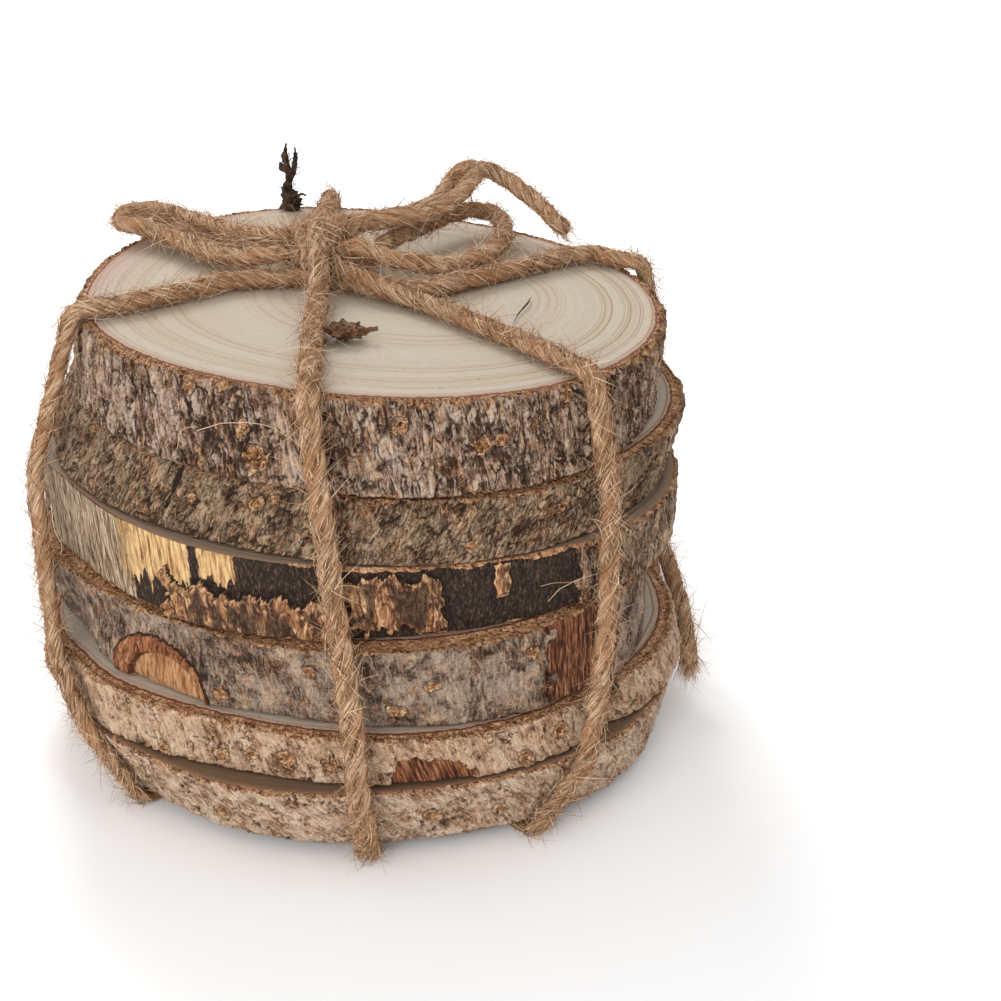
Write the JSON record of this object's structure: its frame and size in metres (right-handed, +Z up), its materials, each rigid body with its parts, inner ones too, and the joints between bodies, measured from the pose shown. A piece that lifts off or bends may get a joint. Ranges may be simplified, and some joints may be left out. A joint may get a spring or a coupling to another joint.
{
  "type": "wood slice",
  "caption": "Stack of round sawn wood slices with natural bark edges, tied crosswise with jute twine in a bow on top.",
  "frame": {"origin": "centre of the footprint of the tied stack, at the lowest point of the twine under it", "axes": "+Z up through the slices, -Y towards the front where a strand of twine runs down the middle, +X to the right"},
  "size_m": [0.1149, 0.1172, 0.0889],
  "materials": {
    "slice_1": "rough bark with sawn faces",
    "slice_2": "rough bark with sawn faces",
    "slice_3": "rough bark with sawn faces",
    "slice_4": "rough bark with sawn faces",
    "slice_5": "rough bark with sawn faces",
    "slice_6": "rough bark with sawn faces",
    "twine": "hairy jute",
    "dry_sprig": "rough and dry",
    "bark_scrap": "rough"
  },
  "bodies": {
    "root": {"slice_1": "slice_1", "slice_2": "slice_2", "slice_3": "slice_3", "slice_4": "slice_4", "slice_5": "slice_5", "slice_6": "slice_6", "twine": "twine", "bow_loop_left": "twine", "bow_loop_right": "twine", "bow_end_arched": "twine", "bow_end_short": "twine", "twine_end_frayed": "twine", "dry_sprig": "dry_sprig", "bark_scrap": "bark_scrap"}
  },
  "joints": []
}
